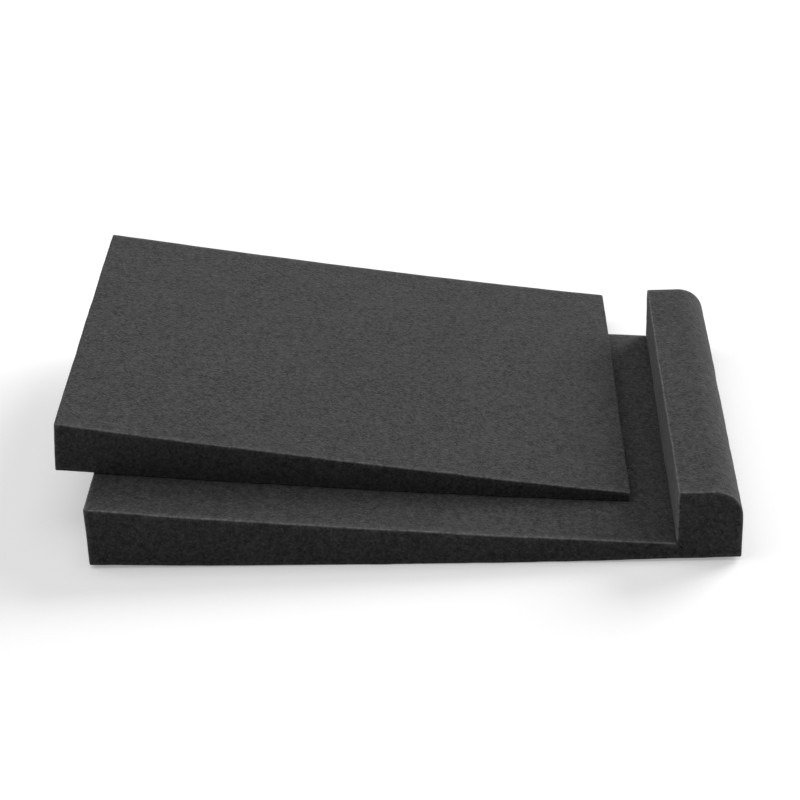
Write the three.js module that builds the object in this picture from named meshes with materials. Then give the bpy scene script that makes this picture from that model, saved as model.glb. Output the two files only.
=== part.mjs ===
import * as THREE from 'three';

// Isolation pad for a studio monitor: a base pad with a raised lip, and a loose wedge that lies on its deck.
// Millimetres, +Z up. The origin is the middle of the base pad's underside.
// X runs along the lip, the lip is at the front (-Y) and both pieces are thickest at the back (+Y).

// Base pad, cut from one block of foam
const pad_length = 365;
const pad_width = 245;
const back_height = 37.5;
const foot_height = 10.5; // of the deck where it meets the lip
const lip_height = 44;
const lip_depth = 36; // front to back
const lip_round = 17; // radius of the lip's top front edge
const heel_round = 2; // radius of the edges along the underside
const edge_round = 0.8; // radius of the other knife-cut edges

// Relief cut of the knife at the foot of the lip, down and forward into the lip
const kerf_width = 0.8;
const kerf_depth = 5;
const kerf_angle = THREE.MathUtils.degToRad(45);
const kerf_round = kerf_width * 0.45; // its end is nearly a half circle

// Loose top wedge, cut from the same foam, which covers the deck when it is pushed up to the lip
const wedge_width = 247;
const wedge_thick_end = 31;
const wedge_thin_end = 6;
const wedge_clearance = 2; // shorter than the deck

// How the wedge lies on the deck
const wedge_from_lip = 25; // along the deck
const wedge_to_side = 42; // towards +X, so that both pieces show
const wedge_turn = THREE.MathUtils.degToRad(0.6); // laid by hand, a little askew
const seat_gap = 0.3;

const arc_segments = 14;

const front = -pad_length / 2;
const back = pad_length / 2;
const deck_front = front + lip_depth;
const deck_rise = back_height - foot_height;
const deck_slope = Math.atan2(deck_rise, back - deck_front);
const deck_length = Math.hypot(deck_rise, back - deck_front);
const wedge_length = deck_length - wedge_clearance;

// A closed outline through corners { at, round }, each turned with an arc tangent to its two sides.
function outline(corners) {
  const shape = new THREE.Shape();
  corners.forEach(({ at, round }, i) => {
    const before = corners.at(i - 1).at.clone().sub(at).normalize();
    const after = corners.at((i + 1) % corners.length).at.clone().sub(at).normalize();
    const half = Math.acos(before.dot(after)) / 2;
    const start = at.clone().addScaledVector(before, round / Math.tan(half));
    const end = at.clone().addScaledVector(after, round / Math.tan(half));
    const inward = before.clone().add(after).normalize();
    const centre = at.clone().addScaledVector(inward, round / Math.sin(half));
    const inner_corner = before.cross(after) > 0;
    const start_angle = Math.atan2(start.y - centre.y, start.x - centre.x);
    const end_angle = Math.atan2(end.y - centre.y, end.x - centre.x);
    shape.absarc(centre.x, centre.y, round, start_angle, end_angle, inner_corner);
  });
  return shape;
}

// A corner of an outline: y runs to the back and z up.
function corner(y, z, round) {
  return { at: new THREE.Vector2(y, z), round };
}

// The point where two lines cross, each given by a point and a direction.
function crossing(point, direction, other_point, other_direction) {
  const between = other_point.clone().sub(point);
  const reach = between.cross(other_direction) / direction.cross(other_direction);
  return point.clone().addScaledVector(direction, reach);
}

// A slab with the outline as its section, centred on X.
function slab(shape, width) {
  const geometry = new THREE.ExtrudeGeometry(shape, {
    depth: width,
    bevelEnabled: false,
    curveSegments: arc_segments,
  });
  geometry.translate(0, 0, -width / 2);
  const section_to_pad = new THREE.Matrix4().makeBasis(
    new THREE.Vector3(0, 1, 0),
    new THREE.Vector3(0, 0, 1),
    new THREE.Vector3(1, 0, 0),
  );
  return geometry.applyMatrix4(section_to_pad);
}

// Charcoal foam, matt
function foam(color) {
  return new THREE.MeshStandardMaterial({ color, roughness: 0.97, metalness: 0 });
}

// The base pad's section: underside, back, sloping deck, the cut at the lip's foot, lip and its round nose.
function pad_section() {
  const foot = new THREE.Vector2(deck_front, foot_height);
  const into_lip = new THREE.Vector2(-Math.cos(kerf_angle), -Math.sin(kerf_angle));
  const across = new THREE.Vector2(-into_lip.y, into_lip.x);
  const lower_side = foot.clone().addScaledVector(across, kerf_width / 2);
  const upper_side = foot.clone().addScaledVector(across, -kerf_width / 2);
  const deck = new THREE.Vector2(Math.cos(deck_slope), Math.sin(deck_slope));
  const lip_back = new THREE.Vector2(0, 1);
  const deck_mouth = crossing(lower_side, into_lip, foot, deck);
  const lip_mouth = crossing(upper_side, into_lip, foot, lip_back);
  return outline([
    corner(front, 0, heel_round),
    corner(back, 0, heel_round),
    corner(back, back_height, edge_round),
    { at: deck_mouth, round: kerf_round },
    { at: lower_side.addScaledVector(into_lip, kerf_depth), round: kerf_round },
    { at: upper_side.addScaledVector(into_lip, kerf_depth), round: kerf_round },
    { at: lip_mouth, round: kerf_round },
    corner(deck_front, lip_height, edge_round),
    corner(front, lip_height, lip_round),
  ]);
}

// The wedge's section, with y counted from its thin end.
function wedge_section() {
  return outline([
    corner(0, 0, edge_round),
    corner(wedge_length, 0, edge_round),
    corner(wedge_length, wedge_thick_end, edge_round),
    corner(0, wedge_thin_end, edge_round),
  ]);
}

function base_pad() {
  const mesh = new THREE.Mesh(slab(pad_section(), pad_width), foam(0x4b4b4c));
  mesh.name = 'base_pad';
  return mesh;
}

// The wedge lies flat in the deck's own plane, thin end towards the lip.
function top_wedge() {
  const mesh = new THREE.Mesh(slab(wedge_section(), wedge_width), foam(0x484849));
  mesh.name = 'top_wedge';
  mesh.position.set(wedge_to_side, wedge_from_lip, seat_gap);
  mesh.rotation.z = wedge_turn;
  const deck_plane = new THREE.Group();
  deck_plane.position.set(0, deck_front, foot_height);
  deck_plane.rotation.x = deck_slope;
  deck_plane.add(mesh);
  return deck_plane;
}

const group = new THREE.Group();
group.name = 'speaker_isolation_pad';
group.add(base_pad(), top_wedge());

export default group;
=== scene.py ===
import math

import bmesh
import bpy
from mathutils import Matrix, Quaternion, Vector


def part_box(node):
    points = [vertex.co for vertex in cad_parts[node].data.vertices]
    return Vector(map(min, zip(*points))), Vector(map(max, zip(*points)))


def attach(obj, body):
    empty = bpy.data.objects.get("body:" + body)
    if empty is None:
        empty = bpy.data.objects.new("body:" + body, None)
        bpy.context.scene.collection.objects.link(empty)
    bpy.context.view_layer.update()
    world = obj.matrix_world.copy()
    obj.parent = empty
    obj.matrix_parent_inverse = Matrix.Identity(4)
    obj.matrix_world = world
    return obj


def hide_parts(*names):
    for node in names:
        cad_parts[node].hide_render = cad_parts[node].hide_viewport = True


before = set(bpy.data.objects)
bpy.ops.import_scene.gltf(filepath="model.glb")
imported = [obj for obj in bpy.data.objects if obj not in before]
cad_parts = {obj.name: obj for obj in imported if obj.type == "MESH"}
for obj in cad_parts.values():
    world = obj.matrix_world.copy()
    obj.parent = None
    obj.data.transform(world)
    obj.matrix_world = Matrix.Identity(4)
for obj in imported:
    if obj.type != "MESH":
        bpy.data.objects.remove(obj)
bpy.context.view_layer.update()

# Base pad
# One block of charcoal open-celled foam, cut to a sloping deck with a raised lip along its front.
# The lip's top front edge is cut round, and the knife's relief cut runs into the lip at its foot.
pad_low, pad_high = (Vector(corner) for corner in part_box("base_pad"))
back_height = 0.0375
foot_height = 0.0105
lip_depth = 0.036
lip_round = 0.017
lip_round_steps = 12
kerf_width = 0.0008
kerf_depth = 0.005
edge_round = 0.0009
edge_round_steps = 4
edge_slot = 1
# How strongly the pad's cut edges get a painted highlight
pad_highlight = 0.9
sharp_above = math.radians(40)
smooth_below = math.radians(35)
grid_step = 0.0035
near = 0.0001
deck_front = pad_low.y + lip_depth

# How much of a face's normal lies along an axis that it is square to, and along one that it runs with
squarely = 0.9
barely = 0.05


def new_block(name, low, high):
    bpy.ops.object.select_all(action="DESELECT")
    bpy.ops.mesh.primitive_cube_add(size=1, location=(low + high) / 2, scale=high - low)
    bpy.ops.object.transform_apply(location=True, rotation=True, scale=True)
    block = bpy.context.object
    block.name = name
    block.data.name = name
    return block


def choose(kind, wanted):
    """Select the wanted vertices, edges or faces of the block in edit mode, and nothing else."""
    bpy.ops.mesh.select_mode(type=kind)
    bpy.ops.mesh.select_all(action="DESELECT")
    block = bpy.context.edit_object.data
    mesh = bmesh.from_edit_mesh(block)
    items = {"VERT": mesh.verts, "EDGE": mesh.edges, "FACE": mesh.faces}[kind]
    for item in items:
        if wanted(item):
            item.select_set(True)
    mesh.select_flush_mode()
    bmesh.update_edit_mesh(block)


def take_off_sides():
    """Leave the section's outline as a strip that is open at both sides."""
    choose("FACE", lambda face: abs(face.normal.x) > squarely)
    bpy.ops.mesh.delete(type="FACE")


def soften_edges(block, stays_sharp=lambda edge: False):
    """Round the cut edges a little, and keep the rounding in a slot of its own."""
    def is_cut(edge):
        if len(edge.link_faces) != 2 or stays_sharp(edge):
            return False
        return edge.calc_face_angle() > sharp_above

    for slot in range(edge_slot + 1):
        block.data.materials.append(None)
    choose("EDGE", is_cut)
    bpy.ops.mesh.bevel(
        offset=edge_round,
        segments=edge_round_steps,
        affect="EDGES",
        material=edge_slot,
    )


def cut_into_squares(low, high):
    """Divide the block into small squares all over, so that it can bend."""
    for across in (Vector((0, 1, 0)), Vector((0, 0, 1))):
        start = low.dot(across)
        length = high.dot(across) - start
        steps = math.ceil(length / grid_step)
        for step in range(1, steps):
            place = across * (start + length * step / steps)
            bpy.ops.mesh.select_all(action="SELECT")
            bpy.ops.mesh.bisect(plane_co=place, plane_no=across)
    width = high.x - low.x
    choose("EDGE", lambda edge: abs(edge.verts[0].co.x - edge.verts[1].co.x) > width / 2)
    bpy.ops.mesh.subdivide(number_cuts=math.ceil(width / grid_step) - 1)


pad = new_block("base_pad_foam", pad_low, Vector((pad_high.x, pad_high.y, foot_height)))
bpy.ops.object.mode_set(mode="EDIT")
take_off_sides()

bpy.ops.mesh.select_all(action="SELECT")
bpy.ops.mesh.bisect(plane_co=(0, deck_front, 0), plane_no=(0, 1, 0))
choose("FACE", lambda face: face.normal.z > squarely and face.calc_center_median().y < deck_front)
bpy.ops.mesh.extrude_region_move(TRANSFORM_OT_translate={"value": (0, 0, pad_high.z - foot_height)})
take_off_sides()

choose("VERT", lambda vert: vert.co.y > pad_high.y - near and vert.co.z > near)
bpy.ops.transform.translate(value=(0, 0, back_height - foot_height))


def at_nose(vert):
    return vert.co.y < pad_low.y + near and vert.co.z > pad_high.z - near


def at_foot(vert):
    return abs(vert.co.y - deck_front) < near and abs(vert.co.z - foot_height) < near


choose("EDGE", lambda edge: all(at_nose(vert) for vert in edge.verts))
bpy.ops.mesh.bevel(offset=lip_round, segments=lip_round_steps, affect="EDGES")

choose("EDGE", lambda edge: all(at_foot(vert) for vert in edge.verts))
bpy.ops.mesh.bevel(offset=kerf_width / math.sqrt(2), segments=1, affect="EDGES")
into_lip = Vector((0, -1, -1)).normalized() * kerf_depth
bpy.ops.mesh.extrude_region_move(TRANSFORM_OT_translate={"value": into_lip})
take_off_sides()

for side in (-1, 1):
    choose("EDGE", lambda edge: edge.is_boundary and edge.verts[0].co.x * side > 0)
    bpy.ops.mesh.edge_face_add()
bpy.ops.mesh.select_all(action="SELECT")
bpy.ops.mesh.normals_make_consistent(inside=False)


def by_kerf(vert):
    beside_foot = abs(vert.co.y - deck_front) < kerf_depth
    return beside_foot and near < vert.co.z < foot_height + 2 * kerf_width


soften_edges(pad, lambda edge: all(by_kerf(vert) for vert in edge.verts))
cut_into_squares(pad_low, pad_high)
bpy.ops.object.mode_set(mode="OBJECT")

curl_rise = 0.002


def curl_up(block, ends):
    """Foam keeps the curl of the bun it was cut from, so both its ends lift a little."""
    bpy.ops.object.mode_set(mode="EDIT")
    for low, high in ends:
        choose("VERT", lambda vert: low < vert.co.y < high)
        reach = max(abs(low), abs(high))
        rise = curl_rise * (reach / pad_high.y) ** 2
        bpy.ops.transform.translate(
            value=(0, 0, rise),
            use_proportional_edit=True,
            proportional_edit_falloff="SHARP",
            proportional_size=reach,
        )
    bpy.ops.object.mode_set(mode="OBJECT")


# Each wave of the knife: the way it goes, how long it is and how deep
knife_wander = (
    ("X", 0.045, 0.0009),
    ("X", 0.01, 0.0004),
    ("Y", 0.055, 0.0009),
    ("Y", 0.01, 0.0004),
    ("Z", 0.07, 0.0006),
    ("Z", 0.012, 0.0002),
)


def make_uneven(block):
    """The knife wandered by a few tenths of a millimetre, sideways as well as up and down."""
    bpy.ops.object.select_all(action="DESELECT")
    block.select_set(True)
    bpy.context.view_layer.objects.active = block
    for axis, size, depth in knife_wander:
        wander = bpy.data.textures.new("wander", "CLOUDS")
        wander.noise_scale = size
        wander.noise_depth = 1
        bpy.ops.object.modifier_add(type="DISPLACE")
        shift = block.modifiers[-1]
        shift.texture = wander
        shift.texture_coords = "LOCAL"
        shift.direction = axis
        shift.strength = depth
        bpy.ops.object.modifier_apply(modifier=shift.name)


def paint_edge_highlight(block, most):
    """Note for the finish how strongly to paint a highlight: most along the cut edges, and none beside
    them.
    """
    mesh = block.data
    at_edge = [0] * len(mesh.vertices)
    around = [0] * len(mesh.vertices)
    for face in mesh.polygons:
        for vertex in face.vertices:
            around[vertex] += 1
            if face.material_index == edge_slot:
                at_edge[vertex] += 1
        face.material_index = 0
    highlight_share = [most * (part / whole) ** 2 for part, whole in zip(at_edge, around)]
    mesh.attributes.new("highlight_mask", "FLOAT", "POINT").data.foreach_set("value", highlight_share)
    mesh.materials.clear()


# The foam's finish
cell_dark = (0.023, 0.023, 0.0232)
cell_light = (0.079, 0.079, 0.0797)
# A painted highlight along the cut edges, standing in for the light that the frayed foam catches there
painted_edge_highlight = (0.29, 0.29, 0.29)
foam_roughness = 0.95
foam_gloss = 0.15
foam_sheen = 0.2
foam_sheen_roughness = 0.35
relief_strength = 0.5
relief_depth = 0.0006
cell_scale = 850

# The scale of each noise in the foam, and how many finer ones it carries
grain_noise = (520, 3)
clump_noise = (260, 2)
mottle_noise = (38, 2)
speck_noise = (700, 0)

# How far each of them carries the colour from the dark towards the light
grain_tone = (-0.32, 0.53)
strut_tone = (0, 0.55)
clump_tone = (-0.55, 0.55)
mottle_tone = (-0.15, 0.15)
speck_tone = (0, 0.55)
speck_peaks = (0.66, 0.8)


def add_noise(nodes, links, place, scale, detail):
    noise = nodes.new("ShaderNodeTexNoise")
    noise.inputs["Scale"].default_value = scale
    noise.inputs["Detail"].default_value = detail
    links.new(place, noise.inputs["Vector"])
    return noise.outputs["Fac"]


def carry_over(nodes, links, value, old, new):
    """Carry a value over from its old range to a new one."""
    spread = nodes.new("ShaderNodeMapRange")
    for name, number in zip(("From Min", "From Max", "To Min", "To Max"), (*old, *new)):
        spread.inputs[name].default_value = number
    links.new(value, spread.inputs["Value"])
    return spread.outputs["Result"]


def combine(nodes, links, operation, first, second):
    step = nodes.new("ShaderNodeMath")
    step.operation = operation
    links.new(first, step.inputs[0])
    links.new(second, step.inputs[1])
    return step.outputs[0]


def charcoal_foam():
    """Cells cut through by the knife: dark pits, lighter struts, soft clumps and a few pale specks, with
    a painted highlight along the cut edges.
    """
    foam = bpy.data.materials.new("charcoal_foam")
    foam.use_nodes = True
    nodes = foam.node_tree.nodes
    links = foam.node_tree.links
    surface = nodes["Principled BSDF"]
    surface.inputs["Roughness"].default_value = foam_roughness
    surface.inputs["Specular IOR Level"].default_value = foam_gloss
    surface.inputs["Sheen Weight"].default_value = foam_sheen
    surface.inputs["Sheen Roughness"].default_value = foam_sheen_roughness

    place = nodes.new("ShaderNodeTexCoord").outputs["Object"]
    cells = nodes.new("ShaderNodeTexVoronoi")
    cells.inputs["Scale"].default_value = cell_scale
    links.new(place, cells.inputs["Vector"])
    struts = cells.outputs["Distance"]
    grain = add_noise(nodes, links, place, *grain_noise)
    clumps = add_noise(nodes, links, place, *clump_noise)
    mottle = add_noise(nodes, links, place, *mottle_noise)
    specks = add_noise(nodes, links, place, *speck_noise)

    tone = carry_over(nodes, links, grain, (0, 1), grain_tone)
    for part, old, new in (
        (struts, (0, 1), strut_tone),
        (clumps, (0, 1), clump_tone),
        (mottle, (0, 1), mottle_tone),
        (specks, speck_peaks, speck_tone),
    ):
        tone = combine(nodes, links, "ADD", tone, carry_over(nodes, links, part, old, new))
    body = nodes.new("ShaderNodeMix")
    body.data_type = "RGBA"
    body.inputs["A"].default_value = (*cell_dark, 1)
    body.inputs["B"].default_value = (*cell_light, 1)
    links.new(tone, body.inputs["Factor"])

    # Painted highlight: lighten the cut edges as far as the mask on the mesh says
    highlight_mask = nodes.new("ShaderNodeAttribute")
    highlight_mask.attribute_name = "highlight_mask"
    painted_rim = nodes.new("ShaderNodeMix")
    painted_rim.data_type = "RGBA"
    painted_rim.inputs["B"].default_value = (*painted_edge_highlight, 1)
    links.new(combine(nodes, links, "MULTIPLY", highlight_mask.outputs["Fac"], grain), painted_rim.inputs["Factor"])
    links.new(body.outputs["Result"], painted_rim.inputs["A"])
    links.new(painted_rim.outputs["Result"], surface.inputs["Base Color"])

    relief = nodes.new("ShaderNodeBump")
    relief.inputs["Strength"].default_value = relief_strength
    relief.inputs["Distance"].default_value = relief_depth
    links.new(combine(nodes, links, "ADD", struts, grain), relief.inputs["Height"])
    links.new(relief.outputs["Normal"], surface.inputs["Normal"])
    return foam


front_end = (pad_low.y - near, pad_low.y + near)
back_end = (pad_high.y - near, pad_high.y + near)
curl_up(pad, (front_end, back_end))
make_uneven(pad)
# Mark where the pad's cut edges get a painted highlight
paint_edge_highlight(pad, pad_highlight)
bpy.ops.object.shade_smooth_by_angle(angle=smooth_below)
foam = charcoal_foam()
pad.data.materials.append(foam)

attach(pad, "root")
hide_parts("base_pad")

# Top wedge
# A loose wedge of the same foam, knife-cut, that lies on the deck with its thin end towards the lip.
# It is slid back from the lip and shifted to one side. Only the edges round its two sides get the
# painted highlight.
wedge_width = 0.247
wedge_thick_end = 0.031
wedge_thin_end = 0.006
wedge_clearance = 0.002
wedge_from_lip = 0.025
wedge_to_side = 0.042
wedge_turn = math.radians(0.6)
# How strongly the wedge's side edges get a painted highlight
wedge_highlight = 0.7
seat_gap = 0.0003
end_depth = 0.006
deck_rise = back_height - foot_height
deck_slope = math.atan2(deck_rise, pad_high.y - deck_front)
wedge_length = math.hypot(deck_rise, pad_high.y - deck_front) - wedge_clearance
cut_low = Vector((-wedge_width / 2, 0, 0))
cut_high = Vector((wedge_width / 2, wedge_length, wedge_thick_end))

wedge = new_block("top_wedge_foam", cut_low, cut_high)
bpy.ops.object.mode_set(mode="EDIT")
choose("VERT", lambda vert: vert.co.y < near and vert.co.z > near)
bpy.ops.transform.translate(value=(0, 0, wedge_thin_end - wedge_thick_end))
soften_edges(wedge)
# No painted highlight on the edges that do not run round the wedge's two sides
choose("FACE", lambda face: abs(face.normal.x) < barely)
wedge.active_material_index = 0
bpy.ops.object.material_slot_assign()
cut_into_squares(cut_low, cut_high)

bpy.ops.mesh.select_all(action="SELECT")
for axis, turn in (("Z", wedge_turn), ("X", deck_slope)):
    bpy.ops.transform.rotate(value=-turn, orient_axis=axis, center_override=(0, 0, 0))
up_the_deck = Vector((0, math.cos(deck_slope), math.sin(deck_slope)))
off_the_deck = Vector((0, -math.sin(deck_slope), math.cos(deck_slope)))
thin_end_seat = Vector((wedge_to_side, deck_front, foot_height))
thin_end_seat += up_the_deck * wedge_from_lip + off_the_deck * seat_gap
bpy.ops.transform.translate(value=thin_end_seat)
bpy.ops.object.mode_set(mode="OBJECT")

wedge_low, wedge_high = (Vector(corner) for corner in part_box("top_wedge"))
thin_end = (wedge_low.y - near, wedge_low.y + end_depth)
thick_end = (wedge_high.y - end_depth, wedge_high.y + near)
curl_up(wedge, (thin_end, thick_end))
make_uneven(wedge)
# Mark where the wedge's side edges get a painted highlight
paint_edge_highlight(wedge, wedge_highlight)
bpy.ops.object.shade_smooth_by_angle(angle=smooth_below)
wedge.data.materials.append(foam)

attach(wedge, "root")
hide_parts("top_wedge")

# Camera
# It stands off the pad's left side and looks down across the deck, through a long lens.
# Its place and its angles were fitted to the corners of the pad in the photo.
view_turn = math.radians(87.13)
view_down = math.radians(29.85)
view_roll = math.radians(-2.34)
camera_place = Vector((-1.1101, -0.0457, 0.6740))
sensor_width_mm = 36
focal_length_mm = 95.8


def heading(turn, rise):
    """The way that something points, turned from +Y towards +X and raised from level."""
    return Vector((
        math.sin(turn) * math.cos(rise),
        math.cos(turn) * math.cos(rise),
        math.sin(rise),
    ))


bpy.ops.object.camera_add(location=camera_place)
camera = bpy.context.object
camera.data.sensor_width = sensor_width_mm
camera.data.lens = focal_length_mm
camera.rotation_mode = "QUATERNION"
look = heading(view_turn, -view_down).to_track_quat("-Z", "Y")
camera.rotation_quaternion = look @ Quaternion((0, 0, 1), view_roll)
bpy.context.scene.camera = camera

# Floor and light
# A plain white sweep under three softboxes: a low one off the far front corner, a weak one behind
# and one overhead. Seen straight, the sweep and the room are white. They give the pad less light
# than that, as a real sweep does.
floor_size = 24
floor_white = 0.85
floor_glow = 0.32
floor_bounce = 0.62
fill_light = 0.06
white = (1, 1, 1, 1)

bpy.ops.mesh.primitive_plane_add(size=floor_size)
floor = bpy.context.object
floor.name = "floor"


def looked_at(nodes, links):
    """One on a ray that the camera, a reflection or a pane sees along, and none on any other."""
    rays = nodes.new("ShaderNodeLightPath").outputs
    seen = combine(nodes, links, "MAXIMUM", rays["Is Camera Ray"], rays["Is Glossy Ray"])
    return combine(nodes, links, "MAXIMUM", seen, rays["Is Transmission Ray"])


paper = bpy.data.materials.new("white_sweep")
paper.use_nodes = True
nodes = paper.node_tree.nodes
links = paper.node_tree.links
sheet = nodes["Principled BSDF"]
seen = looked_at(nodes, links)
tint = carry_over(nodes, links, seen, (0, 1), (floor_bounce, floor_white))
glow = carry_over(nodes, links, seen, (0, 1), (0, floor_glow))
links.new(tint, sheet.inputs["Base Color"])
links.new(glow, sheet.inputs["Emission Strength"])
sheet.inputs["Emission Color"].default_value = white
sheet.inputs["Roughness"].default_value = 1
sheet.inputs["Specular IOR Level"].default_value = 0
floor.data.materials.append(paper)


def hang_softbox(name, turn, rise, spread, level):
    """Light from a broad box. Its turn, its rise and its spread are in degrees."""
    bpy.ops.object.light_add(type="SUN")
    softbox = bpy.context.object
    softbox.name = name
    softbox.data.angle = math.radians(spread)
    softbox.data.energy = level * math.pi
    softbox.rotation_mode = "QUATERNION"
    comes_from = heading(math.radians(turn), math.radians(rise))
    softbox.rotation_quaternion = comes_from.to_track_quat("Z", "Y")


hang_softbox("front_softbox", turn=135, rise=25, spread=40, level=0.9)
hang_softbox("back_softbox", turn=0, rise=52, spread=50, level=0.22)
hang_softbox("overhead_softbox", turn=0, rise=90, spread=50, level=0.26)

studio = bpy.data.worlds.new("studio")
studio.use_nodes = True
nodes = studio.node_tree.nodes
links = studio.node_tree.links
fill = carry_over(nodes, links, looked_at(nodes, links), (0, 1), (fill_light, 1))
nodes["Background"].inputs["Color"].default_value = white
links.new(fill, nodes["Background"].inputs["Strength"])
bpy.context.scene.world = studio
bpy.context.scene.view_settings.view_transform = "Standard"
